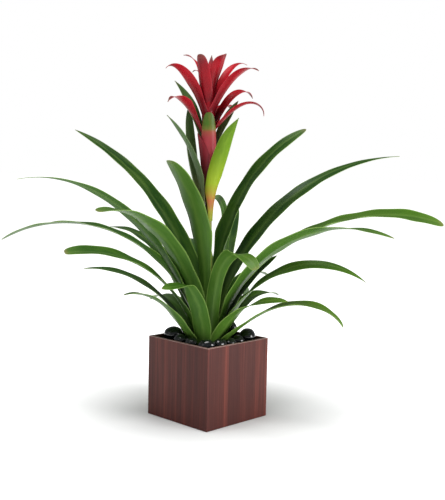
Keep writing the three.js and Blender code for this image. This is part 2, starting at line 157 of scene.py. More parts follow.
LEAVES = dict(
    leaf_front_upright=dict(
        azimuth=188, ring=9, length=299, rise=88.3, end=43, late=2.13, swing=-9, roll=6, twist=-9,
        width=42, sheath=60, tip=10.3, blunt=0.35, tone=0.5,
    ),
    leaf_right_tall=dict(
        azimuth=351, ring=9, length=378, rise=88.5, end=29, late=1.74, swing=-35, roll=16, twist=24,
        width=42, sheath=130, tip=3.3, blunt=0.5, tone=-0.5,
    ),
    leaf_left_tall=dict(
        azimuth=94, ring=9, length=450, rise=87.9, end=21, late=0.77, swing=10, roll=-9, twist=-23,
        width=42, sheath=60, wrap=40, tip=2.2, blunt=0.8, tone=-0.75,
    ),
    leaf_right_long=dict(
        azimuth=337, ring=11.5, length=472, rise=88.4, end=3, late=0.89, swing=-2, roll=26, twist=-4,
        width=42, sheath=50, wrap=36, tip=2.1, blunt=1.15, tone=-0.6,
    ),
    leaf_left_broad=dict(
        azimuth=173, ring=11.5, length=316, rise=74.8, end=-8, late=1.86, swing=7, roll=9, twist=-15,
        width=40, sheath=50, tip=9.9, blunt=0.3, tone=0.3,
    ),
    leaf_back_curled=dict(
        azimuth=25, ring=11.5, length=265, rise=65, end=199, late=4.5, swing=-6, roll=60, width=15,
        sheath=50, wrap=12, tip=7, blunt=0.45, tone=0.25,
    ),
    leaf_left_long=dict(
        azimuth=146, ring=13.6, length=405, rise=67.6, end=-12, late=2, swing=6, roll=39, twist=-31,
        width=34, sheath=50, wrap=34, tip=2, blunt=1.05, tone=-0.2,
    ),
    leaf_back_dark=dict(
        azimuth=30, ring=14, length=296, rise=75.9, end=21, late=0.77, swing=4, roll=3, twist=-4,
        width=32, sheath=50, wrap=32, tip=3.8, blunt=0.8, tone=-0.7,
    ),
    leaf_right_reaching=dict(
        azimuth=323, ring=14, length=466, rise=84.6, end=-17, late=0.77, swing=7, roll=4, twist=33,
        width=38, sheath=45, wrap=34, tip=10.6, blunt=0.45, tone=0.4,
    ),
    leaf_right_slim=dict(
        azimuth=284, ring=16.5, length=364, rise=77, end=-20, late=1.24, swing=12, roll=-28, twist=46,
        width=31, wrap=22, tip=4.2, blunt=0.65, tone=0.3,
    ),
    leaf_left_reaching=dict(
        azimuth=123, ring=17, length=416, rise=84.7, end=-30, late=0.94, swing=4, roll=1, twist=3,
        width=36, tip=7.6, blunt=0.55, tone=-0.3,
    ),
    leaf_back_1=dict(
        azimuth=52, ring=16.5, length=330, rise=71, end=-35, late=1.3, sheath=45, wrap=24, tone=-0.3,
    ),
    leaf_right_narrow=dict(
        azimuth=328, ring=19, length=169, rise=69.1, end=32, late=1.76, swing=2, roll=7, twist=14,
        width=24, tip=5.3, blunt=0.75, tone=-0.2,
    ),
    leaf_left_rear=dict(
        azimuth=84, ring=21.5, length=326, rise=65, end=-7, late=1.19, swing=4, roll=-2, twist=-5,
        width=28, sheath=35, wrap=24, tip=4.6, blunt=0.75, tone=-0.4,
    ),
    leaf_right_arched=dict(
        azimuth=289, ring=21.5, length=289, rise=67.6, end=-37, late=1.53, swing=11, roll=34, twist=20,
        width=33, sheath=35, wrap=22, tip=2, blunt=0.9, tone=0.35,
    ),
    leaf_left_blunt=dict(
        azimuth=153, ring=21.5, length=274, rise=76, end=-9, late=1.11, swing=3, roll=-14, twist=-6,
        width=35, sheath=35, wrap=30, tip=8.2, blunt=0.3, tone=0.1,
    ),
    leaf_back_2=dict(
        azimuth=14, ring=21.5, length=220, rise=62, end=-25, late=1.4, wrap=40, tone=-0.2,
    ),
    leaf_front_folded_right=dict(
        azimuth=235, ring=24, length=237, rise=87.4, end=-31, late=2.05, swing=31, roll=-52, twist=91,
        width=21, sheath=35, wrap=24, fold=13, foldAt=0.7, foldTurn=-6, tip=11.9, blunt=0.3, tone=0.5,
    ),
    leaf_left_slim=dict(
        azimuth=136, ring=24, length=220, rise=57.5, end=-9, late=1.68, swing=-2, roll=-7, twist=-3,
        width=28, sheath=30, tip=4.2, blunt=0.75, tone=-0.1,
    ),
    leaf_back_3=dict(
        azimuth=56, ring=24, length=290, rise=56, end=-40, late=1.3, sheath=35, wrap=34, tone=0,
    ),
    leaf_front_short=dict(
        azimuth=261, ring=26.5, length=181, rise=77.9, end=1, late=0.68, swing=9, roll=14, twist=23,
        width=29, sheath=30, wrap=30, tip=4, blunt=0.85, tone=0.6,
    ),
    leaf_back_4=dict(
        azimuth=358, ring=26.5, length=165, rise=60, end=-25, late=1.4, sheath=30, wrap=22, tone=0.2,
    ),
    leaf_front_folded_left=dict(
        azimuth=208, ring=29, length=170, rise=80.6, end=36, late=0.9, swing=-33, roll=6, twist=-40,
        width=29, sheath=30, wrap=24, fold=43, foldAt=0.68, foldTurn=8, tip=4.7, blunt=0.7, tone=0.15,
    ),
    leaf_right_low=dict(
        azimuth=290, ring=29, length=217, rise=43.3, end=-58, late=2.15, swing=17, roll=4, twist=-1,
        width=34, sheath=25, wrap=40, tip=8.9, blunt=0.3, tone=0.8,
    ),
    leaf_back_5=dict(
        azimuth=28, ring=29, length=235, rise=47, end=-42, late=1.4, sheath=30, wrap=24, tone=0.1,
    ),
    leaf_back_6=dict(
        azimuth=78, ring=29, length=180, rise=42, end=-30, late=1.6, sheath=25, wrap=24, tone=0.3,
    ),
    leaf_left_low=dict(
        azimuth=167, ring=31, length=156, rise=55.5, end=-10, late=2.24, swing=3, roll=-3, twist=11,
        width=32, sheath=25, wrap=28, tip=8.1, blunt=0.5, tone=0.2,
    ),
)

BRACT_HABIT = dict(
    LEAF_HABIT, wrap=80, sheath=8, tip=3.2, blunt=0.8, clasp=0, channel=16, open=1, groove=0.35, wave=0.25,
)

GREEN_BRACTS = dict(
    bract_yellow_green=dict(
        azimuth=265, ring=6, foot=295, length=170, rise=87, end=35, late=1.4, swing=-7, roll=-37,
        twist=26, width=26, wrap=42, tip=4.4, blunt=1,
    ),
    bract_left=dict(
        azimuth=168, ring=8, foot=311, length=160, rise=83, end=32, late=1.48, swing=15, roll=-7,
        twist=21, width=20, wrap=17, tip=2.5, blunt=1, tone=0.2,
    ),
    bract_left_inner=dict(
        azimuth=113, ring=7, foot=309, length=163, rise=52.4, end=94.6, late=0.5, swing=-6, roll=-12,
        twist=-5, width=27, wrap=26, tip=5.3, blunt=1, tone=0.3,
    ),
    bract_left_rear=dict(
        azimuth=115, ring=10, foot=399, length=116, rise=78, end=43, late=1.9, swing=-8, roll=-31,
        twist=21, width=22, wrap=22, tip=3.8, blunt=0.9, tone=0.2,
    ),
    bract_right_rear=dict(
        azimuth=341, ring=10, foot=397, length=89, rise=69, end=44, late=1.9, swing=11, roll=26, twist=7,
        width=19, wrap=22, tip=2.6, tone=0.4,
    ),
)

NECK_BRACTS = dict(
    bract_neck=dict(
        azimuth=228, ring=6.7, foot=333, length=122, rise=85, end=88, late=1.4, width=29, tip=3.2,
        blunt=0.35, channel=14,
    ),
    bract_neck_left=dict(
        azimuth=150, ring=8.8, foot=345, length=80, rise=86, end=82, late=1.4, width=40, wrap=60, tip=4,
        blunt=0.8, channel=14,
    ),
)

RED_HABIT = dict(BRACT_HABIT, ring=8)
RED_TONES = (-0.35, 0.35)

RED_BRACTS = [
    dict(azimuth=154, ring=9, foot=446, length=113, rise=71.4, end=-45, late=3.13, swing=29, roll=28,
         twist=5, width=27, tip=2.1, blunt=1.1),
    dict(azimuth=163, ring=9.5, foot=419, length=103, rise=62, end=-51, late=2.6, swing=32, roll=4,
         twist=-12, width=28, wrap=10, tip=3.2, blunt=1.2),
    dict(azimuth=195, foot=453, length=86, rise=82, end=72, late=1.9, roll=-7, width=25, tip=6.5,
         blunt=0.4),
    dict(azimuth=79, ring=7, foot=471, length=102, rise=78.1, end=1, late=1.86, swing=4, roll=22,
         twist=17, width=19, tip=2.3, blunt=1.05),
    dict(azimuth=284, foot=472, length=76, rise=79.8, end=5, late=3.82, swing=-29, roll=-1, twist=17,
         width=25, tip=6.6, blunt=0.9),
    dict(azimuth=39, ring=6, foot=468, length=77, rise=79, end=65, late=1.1, swing=-7, width=16, tip=2.6),
    dict(azimuth=102, foot=462, length=68, rise=89, end=-48, late=4.8, width=15),
    dict(azimuth=341, foot=458, length=107, rise=70.1, end=-22, late=2.85, swing=18, roll=15, twist=1,
         width=23, tip=2, blunt=1),
    dict(azimuth=292, ring=9, foot=452, length=114, rise=63, end=-31, late=2.2, swing=-27, roll=-8,
         twist=16, width=23, tip=2.7),
    dict(azimuth=338, ring=9.5, foot=429, length=108, rise=62, end=-55, late=2.8, swing=25, roll=14,
         twist=5, width=23, tip=2.9, blunt=0.75),
    dict(azimuth=296, ring=9.5, foot=425, length=105, rise=46, end=-97, late=3.1, swing=-7, roll=-7,
         twist=-29, width=16, wrap=14, tip=3.1, blunt=0.7),
    dict(azimuth=230, ring=8.6, foot=430, length=86, rise=88, end=90, late=1.4, width=27, tip=4,
         blunt=0.7),
    dict(azimuth=12, ring=9.5, foot=424, length=84, rise=62, end=-50, late=2.4, width=22),
    dict(azimuth=48, ring=9.5, foot=428, length=86, rise=64, end=-45, late=2.6, width=20),
    dict(azimuth=46, ring=9, foot=446, length=88, rise=74, end=-20, late=2.6, width=24),
]

# Radius and height of the stem and of the bloom's core, millimetres
SCAPE_FOOT = 104.4
SCAPE_PROFILE = [(5.6, SCAPE_FOOT), (5, 200), (5, 325), (6.8, 360), (9, 395), (10, 418)]
CORE_PROFILE = [(10.4, 418.3), (10.4, 430), (9.4, 448), (8.4, 476), (6, 492), (0.5, 500)]

# The stem, its bracts and the bloom lean from the stem's foot towards this side of the plant, degrees
LEAN = 1.1
LEAN_SIDE = 134


def ease(a, b, x):
    """0 before a, 1 after b, with an even start and stop between."""
    t = np.clip((x - a) / (b - a), 0, 1)
    return t * t * (3 - 2 * t)


def folded(leaf, u):
    """0 before the blade's fold, 1 after it."""
    return ease(leaf["foldAt"] - FOLD_HALF, leaf["foldAt"] + FOLD_HALF, u)


def heading(leaf, u):
    """Climb and side of the blade at u along its length, in radians."""
    climb = leaf["rise"] + (leaf["end"] - leaf["rise"]) * u ** leaf["late"]
    climb = 90 + (climb - 90) * ease(0, leaf["sheath"] / leaf["length"], u)
    climb = climb - leaf["fold"] * folded(leaf, u)
    side = leaf["azimuth"] + leaf["swing"] * ease(*SWING_SPAN, u)
    side = side + leaf["foldTurn"] * folded(leaf, u)
    return np.radians(climb), np.radians(side)


def direction(climb, side):
    return np.stack([np.cos(climb) * np.cos(side), np.cos(climb) * np.sin(side), np.sin(climb)], -1)


def centre_line(leaf, u):
    """Points of the blade's own line at each u, in millimetres."""
    middle = (np.arange(LINE_STEPS) + 0.5) / LINE_STEPS
    steps = direction(*heading(leaf, middle)) * leaf["length"] * REACH / LINE_STEPS
    foot = math.radians(leaf["azimuth"])
    start = np.array([leaf["ring"] * math.cos(foot), leaf["ring"] * math.sin(foot), leaf["foot"]])
    line = start + np.vstack([np.zeros(3), np.cumsum(steps, axis=0)])
    knots = np.linspace(0, 1, LINE_STEPS + 1)
    return np.stack([np.interp(u, knots, line[:, k]) for k in range(3)], -1)


def half_width(leaf, u):
    narrowing = np.maximum(1 - u ** leaf["tip"], 0) ** leaf["blunt"]
    clasp = 1 + leaf["clasp"] * (1 - ease(*CLASP_FADE, u))
    return np.maximum(leaf["width"] / 2 * narrowing * clasp, TIP_HALF_WIDTH)


def blade_axes(leaf, u):
    """Directions across the blade and off its upper face at each u, after its roll and twist."""
    climb, side = heading(leaf, u)
    along = direction(climb, side)
    level = np.stack([-np.sin(side), np.cos(side), np.zeros_like(side)], -1)
    up = np.cross(along, level)
    roll = np.radians(leaf["roll"] * ease(*ROLL_SPAN, u) + leaf["twist"] * ease(*TWIST_SPAN, u))[:, None]
    over = level * np.cos(roll) + up * np.sin(roll)
    lift = up * np.cos(roll) - level * np.sin(roll)
    return over, lift


def blade_relief(leaf, u, s, half, phase):
    """Depth of the groove and height of the waves at each u and s, in millimetres."""
    free = ease(*RELIEF_SPAN, u) * (1 - ease(*RELIEF_FADE, u)) * (half / (leaf["width"] / 2))
    groove = leaf["groove"] * free[:, None] * np.exp(-((s / GROOVE_WIDTH) ** 2))
    short = np.sin(u * leaf["length"] / SHORT_WAVE + phase)
    long = np.sin(u * leaf["length"] / LONG_WAVE + 2 * phase)
    ripple = short + LONG_WAVE_SHARE * long
    wave = leaf["wave"] * (free * ripple)[:, None] * np.sign(s) * np.abs(s) ** 3
    return groove, wave


def blade_surface(leaf, rows, across, phase):
    """Upper and lower points of a blade, in metres, with their u along it and s across it."""
    u = 1 - (1 - np.linspace(0, 1, rows + 1)) ** TIP_CROWDING
    s = np.sin(np.linspace(-math.pi / 2, math.pi / 2, across + 1))
    point = centre_line(leaf, u)
    over, lift = blade_axes(leaf, u)
    # From edge to edge it curves round the plant's axis, and less and less so further out
    reach = np.hypot(point[:, 0], point[:, 1])
    bend = np.clip(reach, leaf["ring"], leaf["channel"])
    limit = math.radians(leaf["wrap"]) * (1 + leaf["open"] * np.maximum(reach / leaf["ring"] - 1, 0))
    half = half_width(leaf, u)
    angle = np.minimum(half / bend, limit)[:, None] * s
    groove, wave = blade_relief(leaf, u, s, half, phase)
    thick = EDGE_THICKNESS + (BLADE_THICKNESS - EDGE_THICKNESS) * (1 - s**4)
    faces = []
    for face in (1, -1):
        radius = bend[:, None] - face * thick / 2
        sideways = (radius * np.sin(angle))[:, :, None] * over[:, None, :]
        height = bend[:, None] - radius * np.cos(angle) - groove + wave
        faces.append(point[:, None, :] + sideways + height[:, :, None] * lift[:, None, :])
    along = np.broadcast_to(u[:, None], angle.shape)
    aside = np.broadcast_to(s, angle.shape)
    return faces[0] * MM, faces[1] * MM, along, aside


def leaned(points):
    """Points, in metres, leaned over from the foot of the stem."""
    side = math.radians(LEAN_SIDE)
    turn = Quaternion((-math.sin(side), math.cos(side), 0), math.radians(LEAN)).to_matrix()
    foot = np.array((0, 0, SCAPE_FOOT * MM))
    return (np.array(points) - foot) @ np.array(turn).T + foot


def grid_faces(rows, columns, first, flipped):
    """Quads between the rows of a grid whose points start at first."""
    faces = []
    for i in range(rows):
        for j in range(columns):
            a = first + i * (columns + 1) + j
            b = a + columns + 1
            faces.append((a, a + 1, b + 1, b) if flipped else (a, b, b + 1, a + 1))
    return faces


def rim_faces(rows, columns, under):
    """Quads round the edge of a blade, from its upper grid to its lower one."""
    ring = [i * (columns + 1) for i in range(rows + 1)]
    ring += [rows * (columns + 1) + j for j in range(1, columns + 1)]
    ring += [i * (columns + 1) + columns for i in range(rows - 1, -1, -1)]
    ring += [j for j in range(columns - 1, 0, -1)]
    return [(a, a + under, b + under, b) for a, b in zip(ring, ring[1:] + ring[:1])]


class Blades:
    """One mesh of closed blades, with where each point lies on its blade."""

    def __init__(self):
        self.points = []
        self.faces = []
        self.values = {"along": [], "across": [], "upper": [], "tone": []}

    def add(self, leaf, row_length, across, rng, lean=False):
        rows = round(leaf["length"] / row_length)
        top, bottom, along, aside = blade_surface(leaf, rows, across, rng.uniform(*WAVE_START))
        if lean:
            top, bottom = leaned(top), leaned(bottom)
        first = len(self.points)
        under = top.shape[0] * top.shape[1]
        for surface, upper in ((top, 1.0), (bottom, 0.0)):
            self.points += surface.reshape(-1, 3).tolist()
            self.values["along"] += along.ravel().tolist()
            self.values["across"] += aside.ravel().tolist()
            self.values["upper"] += [upper] * under
            self.values["tone"] += [leaf["tone"]] * under
        made = grid_faces(rows, across, first, False) + grid_faces(rows, across, first + under, True)
        made += [tuple(first + k for k in face) for face in rim_faces(rows, across, under)]
        self.faces += made

    def finish(self, name, material, slot, node):
        piece = mesh_piece(name, self.points, self.faces, material)
        for key, values in self.values.items():
            attribute = piece.data.attributes.new(key, "FLOAT", "POINT")
            attribute.data.foreach_set("value", values)
        carry(piece, node)


def add_piece(name, mesh, material):
    """The mesh as an object of the scene, with this finish."""
    mesh.materials.append(material)
    piece = bpy.data.objects.new(name, mesh)
    bpy.context.scene.collection.objects.link(piece)
    return piece


def mesh_piece(name, points, faces, material):
    """An object of these points and faces, smooth but for its creases."""
    mesh = bpy.data.meshes.new(name)
    mesh.from_pydata(points, [], faces)
    shape = bmesh.new()
    shape.from_mesh(mesh)
    bmesh.ops.recalc_face_normals(shape, faces=shape.faces)
    shape.to_mesh(mesh)
    shape.free()
    mesh.shade_smooth()
    mesh.set_sharp_from_angle(angle=math.radians(CREASE))
    return add_piece(name, mesh, material)


def carry(piece, node):
    """Shows the piece in place of the part's node, on the same body."""
    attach(piece, "root")
    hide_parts(node)


def colour(red, green, blue):
    """A colour given as a screen shows it, 0 to 255, turned into shares of light."""
    shares = [channel / 255 for channel in (red, green, blue)]
    linear = [share / 12.92 if share <= 0.04 else ((share + 0.055) / 1.055) ** 2.4 for share in shares]
    return (*linear, 1)


class Finish:
    """A material made of nodes, with one shader at its end."""

    def __init__(self, name, **settings):
        self.material = bpy.data.materials.new(name)
        self.material.use_nodes = True
        self.tree = self.material.node_tree
        self.shader = self.tree.nodes["Principled BSDF"]
        for key, value in settings.items():
            self.shader.inputs[key.replace("_", " ")].default_value = value

    def node(self, kind, sockets=None, **settings):
        made = self.tree.nodes.new("ShaderNode" + kind)
        for key, value in settings.items():
            setattr(made, key, value)
        for key, value in (sockets or {}).items():
            self.set(made.inputs[key], value)
        return made

    def set(self, socket, value):
        if isinstance(value, bpy.types.NodeSocket):
            self.tree.links.new(value, socket)
        else:
            socket.default_value = value

    def shade(self, name, value):
        self.set(self.shader.inputs[name], value)

    def attribute(self, name):
        return self.node("Attribute", attribute_name=name).outputs["Fac"]

    def place(self):
        return self.node("TexCoord").outputs["Object"]

    def maths(self, operation, a, b=0.0, clamp=False):
        return self.node("Math", {0: a, 1: b}, operation=operation, use_clamp=clamp).outputs[0]

    def mix(self, share, first, second):
        return self.node("MixRGB", {0: share, 1: first, 2: second}).outputs[0]

    def layer(self, base, over, share, stops):
        """The base with another colour over it, as much as the ramp of share says."""
        return self.mix(self.ramp(share, stops), base, over)

    def span(self, value, start, end, first=0.0, last=1.0):
        """The first number up to start, the last one past end, and an even slope between."""
        return self.node("MapRange", {0: value, 1: start, 2: end, 3: first, 4: last}).outputs[0]

    def vector(self, x, y, z):
        return self.node("CombineXYZ", {0: x, 1: y, 2: z}).outputs[0]

    def parts(self, vector):
        return self.node("SeparateXYZ", {0: vector}).outputs

    def stretched(self, vector, scale):
        return self.node("Mapping", {"Vector": vector, "Scale": scale}).outputs[0]

    def noise(self, vector, scale, detail=2.0, roughness=0.5):
        sockets = {"Vector": vector, "Scale": scale, "Detail": detail, "Roughness": roughness}
        return self.node("TexNoise", sockets).outputs[0]

    def ramp(self, share, stops):
        """Colours or greys at places from 0 to 1, with an even change between them."""
        made = self.node("ValToRGB", {0: share})
        elements = made.color_ramp.elements
        while len(elements) < len(stops):
            elements.new(0.5)
        for element, (place, value) in zip(elements, stops):
            element.position = place
            element.color = value if isinstance(value, tuple) else (value, value, value, 1)
        return made.outputs[0]

    def bump(self, height, distance, strength):
        sockets = {"Height": height, "Distance": distance, "Strength": strength}
        return self.node("Bump", sockets).outputs[0]


def blade_place(finish, wide, long):
    """Place on a blade for a pattern, this wide from its middle to its edge and this long."""
    return finish.vector(
        finish.maths("MULTIPLY", finish.attribute("across"), wide),
        finish.maths("MULTIPLY", finish.attribute("along"), long),
        finish.maths("MULTIPLY", finish.attribute("tone"), TONE_SHIFT),
    )


def blade_finish(
    name, stops, pale, dark, under, margin_and_sheen, roughness, vein=0.35, patch=0.35, shine=0.14, back=0.45
):
    """Finish of a leaf or bract.

    stops: its colours from foot to tip
    pale: colour of its patches, as much as patch says, and of a blade of pale tone, partly painted light
    dark: colour of its fibres, as much as vein says, and of a blade of dark tone, partly painted shade
    under: colour of its underside, as much as back says
    margin: colour of its edges, partly their own paler colour and partly a painted highlight,
    and of a faint painted sheen stripe beside its middle
    """
    finish = Finish(name, Specular_IOR_Level=shine)
    fibres = finish.noise(blade_place(finish, wide=9, long=2.5), scale=4, detail=4, roughness=0.65)
    patches = finish.noise(blade_place(finish, wide=0.6, long=3), scale=2.2, detail=3, roughness=0.6)
    tone = finish.attribute("tone")
    across = finish.attribute("across")
    # A faint painted sheen stripe beside the middle of each blade: a painted highlight where its channel
    # would catch the light.
    painted_sheen_stripe = finish.maths("ADD", across, finish.maths("MULTIPLY", patches, 0.8))
    base = finish.ramp(finish.attribute("along"), stops)
    # Tone gives paler and darker copies of the finish: partly each blade's own tone, partly painted light
    # and shade.
    base = finish.mix(finish.maths("MULTIPLY", tone, TONE_PALE, clamp=True), base, pale)
    base = finish.mix(finish.maths("MULTIPLY", tone, -TONE_DARK, clamp=True), base, dark)
    base = finish.layer(base, pale, patches, [(0.42, 0.0), (0.75, patch)])
    base = finish.layer(base, dark, fibres, [(0.35, vein), (0.6, 0.0)])
    base = finish.layer(base, under, finish.attribute("upper"), [(0.0, back), (1.0, 0.0)])
    # Painted sheen: the edge colour laid faintly beside the middle.
    base = finish.layer(base, margin_and_sheen, painted_sheen_stripe, [(0.25, 0.0), (0.5, 0.14), (0.8, 0.0)])
    # Paler edges: partly the blade's own paler rim, partly a painted highlight along them.
    base = finish.layer(base, margin_and_sheen, finish.maths("ABSOLUTE", across), [(0.88, 0.0), (1.0, 0.6)])
    finish.shade("Base Color", base)
    finish.shade("Roughness", finish.ramp(patches, [(0.3, roughness - 0.05), (0.7, roughness + 0.1)]))
    finish.shade("Normal", finish.bump(fibres, distance=0.00004, strength=0.15))
    return finish.material


def leaf_green():
    return blade_finish(
        "leaf_green",
        [
            (0.0, colour(132, 150, 70)),
            (0.1, colour(82, 118, 40)),
            (0.35, colour(46, 87, 20)),
            (0.9, colour(41, 83, 20)),
            (0.975, colour(74, 110, 42)),
            (1.0, colour(136, 124, 80)),
        ],
        pale=colour(100, 138, 38), dark=colour(18, 46, 12), under=colour(66, 102, 42),
        margin_and_sheen=colour(146, 176, 92), roughness=0.36,
    )


def bract_green():
    return blade_finish(
        "bract_green",
        [
            (0.0, colour(120, 78, 44)),
            (0.2, colour(96, 84, 42)),
            (0.4, colour(62, 90, 38)),
            (0.9, colour(50, 86, 32)),
            (1.0, colour(96, 82, 54)),
        ],
        pale=colour(112, 136, 84), dark=colour(26, 50, 24), under=colour(104, 126, 92),
        margin_and_sheen=colour(132, 146, 104), roughness=0.38,
    )


def bract_yellow():
    return blade_finish(
        "bract_yellow",
        [
            (0.0, colour(140, 155, 50)),
            (0.08, colour(166, 152, 52)),
            (0.13, colour(180, 110, 66)),
            (0.18, colour(190, 96, 68)),
            (0.24, colour(174, 146, 54)),
            (0.33, colour(150, 170, 36)),
            (0.6, colour(104, 138, 26)),
            (0.9, colour(80, 118, 26)),
            (1.0, colour(80, 100, 50)),
        ],
        pale=colour(138, 166, 44), dark=colour(80, 114, 26), under=colour(126, 154, 52),
        margin_and_sheen=colour(136, 162, 60), roughness=0.42, vein=0.25, patch=0.25, back=0.05,
    )


def bract_pink():
    return blade_finish(
        "bract_pink",
        [
            (0.0, colour(84, 20, 24)),
            (0.3, colour(140, 40, 50)),
            (0.55, colour(176, 58, 70)),
            (0.7, colour(164, 54, 62)),
            (0.77, colour(150, 70, 52)),
            (0.8, colour(100, 106, 34)),
            (0.86, colour(62, 98, 20)),
            (1.0, colour(58, 92, 22)),
        ],
        pale=colour(160, 84, 72), dark=colour(92, 18, 28), under=colour(122, 52, 46),
        margin_and_sheen=colour(140, 70, 52), roughness=0.38, vein=0.12, patch=0.1, shine=0.25, back=0.0,
    )


def bract_pink_in_painted_shade():
    # A pink bract painted dark maroon, darkest at its foot: painted shade where it curves away from the
    # light beside the neck.
    return blade_finish(
        "bract_pink_in_painted_shade",
        [
            (0.0, colour(58, 30, 18)),
            (0.35, colour(86, 26, 30)),
            (0.65, colour(132, 38, 48)),
            (1.0, colour(150, 46, 56)),
        ],
        pale=colour(150, 56, 62), dark=colour(38, 10, 14), under=colour(76, 20, 26),
        margin_and_sheen=colour(120, 40, 44), roughness=0.42, vein=0.2, patch=0.15, shine=0.15, back=0.0,
    )


def bloom_red():
    return blade_finish(
        "bloom_red",
        [
            # Darker towards the foot: painted shade where the bracts crowd round the core.
            (0.0, colour(56, 2, 6)),
            (0.22, colour(96, 3, 9)),
            (0.42, colour(146, 6, 16)),
            (0.65, colour(178, 10, 26)),
            (0.8, colour(158, 14, 26)),
            (0.88, colour(116, 38, 44)),
            (0.95, colour(104, 92, 80)),
            (1.0, colour(96, 100, 80)),
        ],
        pale=colour(204, 30, 50), dark=colour(76, 2, 8), under=colour(120, 22, 32),
        margin_and_sheen=colour(178, 40, 54), roughness=0.36, vein=0.12, shine=0.15,
    )


def scape_red():
    """Stem that is green at its foot and dark red above, with fine lines along it."""
    finish = Finish("scape_red", Specular_IOR_Level=0.3)
    place = finish.place()
    lines = finish.stretched(place, scale=(260, 260, 12))
    grain = finish.noise(lines, scale=1, detail=4, roughness=0.6)
    above = finish.span(finish.parts(place)[2], STEM_GREEN_TO, STEM_RED_FROM)
    green = finish.ramp(grain, [(0.35, colour(140, 150, 56)), (0.7, colour(186, 192, 92))])
    red = finish.ramp(grain, [(0.35, colour(40, 16, 10)), (0.7, colour(76, 34, 22))])
    finish.shade("Base Color", finish.mix(above, green, red))
    finish.shade("Roughness", finish.ramp(grain, [(0.3, 0.4), (0.7, 0.55)]))
    finish.shade("Normal", finish.bump(grain, distance=0.0004, strength=0.5))
    return finish.material


def planter_wood():
    """Veneer in upright strips of slightly different browns, with fine grain along them."""
    finish = Finish("planter_wood", Specular_IOR_Level=0.2)
    place = finish.place()
    x, y, z = finish.parts(place)
    across = finish.maths("DIVIDE", finish.maths("SUBTRACT", x, y), STRIP_WIDTH)
    drift = finish.maths("SINE", finish.maths("MULTIPLY", across, STRIP_DRIFT))
    uneven = finish.maths("ADD", across, drift)
    strip = finish.maths("FLOOR", uneven)
    shade = finish.node("TexWhiteNoise", {"W": strip}, noise_dimensions="1D").outputs[0]
    within = finish.maths("ABSOLUTE", finish.maths("SUBTRACT", finish.maths("FRACT", uneven), 0.5))
    fine = finish.stretched(place, scale=(520, 520, 6))
    grain = finish.noise(fine, scale=1, detail=5, roughness=0.7)
    broad = finish.stretched(place, scale=(120, 120, 3))
    figure = finish.noise(broad, scale=1, detail=3, roughness=0.5)
    browns = [(0.0, colour(88, 40, 33)), (0.5, colour(106, 50, 41)), (1.0, colour(124, 60, 49))]
    wood = finish.ramp(shade, browns)
    wood = finish.layer(wood, colour(70, 34, 30), figure, [(0.38, 0.7), (0.62, 0.0)])
    wood = finish.layer(wood, colour(52, 24, 22), grain, [(0.36, 0.65), (0.6, 0.0)])
    wood = finish.layer(wood, colour(48, 22, 20), within, [(0.455, 0.0), (0.49, 0.55)])
    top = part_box("planter")[1].z
    edge = finish.maths("GREATER_THAN", z, top - BOARD_EDGE)
    wood = finish.mix(edge, wood, colour(142, 112, 106))
    finish.shade("Base Color", wood)
    finish.shade("Roughness", finish.ramp(grain, [(0.3, 0.5), (0.7, 0.38)]))
    finish.shade("Normal", finish.bump(grain, distance=0.0002, strength=0.4))
    return finish.material


def liner_plastic():
    finish = Finish("liner_plastic", Base_Color=colour(20, 20, 21))
    grain = finish.noise(finish.place(), scale=900)
    finish.shade("Roughness", finish.ramp(grain, [(0.3, 0.4), (0.7, 0.55)]))
    finish.shade("Normal", finish.bump(grain, distance=0.0001, strength=0.3))
    return finish.material


def soil_dark():
    finish = Finish("soil", Specular_IOR_Level=0.2)
    crumbs = finish.noise(finish.place(), scale=420, detail=6, roughness=0.75)
    finish.shade("Base Color", finish.ramp(crumbs, [(0.3, colour(10, 8, 7)), (0.7, colour(38, 30, 24))]))
    finish.shade("Roughness", finish.ramp(crumbs, [(0.3, 0.85), (0.7, 1.0)]))
    finish.shade("Normal", finish.bump(crumbs, distance=0.003, strength=0.9))
    return finish.material


def stock_fibre():
    finish = Finish("stock")
    lines = finish.stretched(finish.place(), scale=(200, 200, 30))
    fibre = finish.noise(lines, scale=1, detail=5, roughness=0.7)
    finish.shade("Base Color", finish.ramp(fibre, [(0.3, colour(62, 50, 30)), (0.7, colour(128, 112, 70))]))
    finish.shade("Roughness", finish.ramp(fibre, [(0.3, 0.7), (0.7, 0.9)]))
    finish.shade("Normal", finish.bump(fibre, distance=0.0008, strength=0.7))
    return finish.material


def river_stone():
    """Polished black stone with a faint blue-grey cloud in it."""
    finish = Finish("river_stone", Specular_IOR_Level=0.5, Coat_Weight=0.3, Coat_Roughness=0.04)
    cloud = finish.noise(finish.place(), scale=90, detail=4, roughness=0.6)
    speck = finish.noise(finish.place(), scale=700)
    base = finish.ramp(cloud, [(0.35, colour(4, 6, 7)), (0.75, colour(17, 23, 26))])
    base = finish.layer(base, colour(58, 66, 70), speck, [(0.68, 0.0), (0.76, 0.35)])
    finish.shade("Base Color", base)
    finish.shade("Roughness", finish.ramp(cloud, [(0.3, 0.1), (0.7, 0.22)]))
    finish.shade("Normal", finish.bump(cloud, distance=0.0006, strength=0.25))
    return finish.material


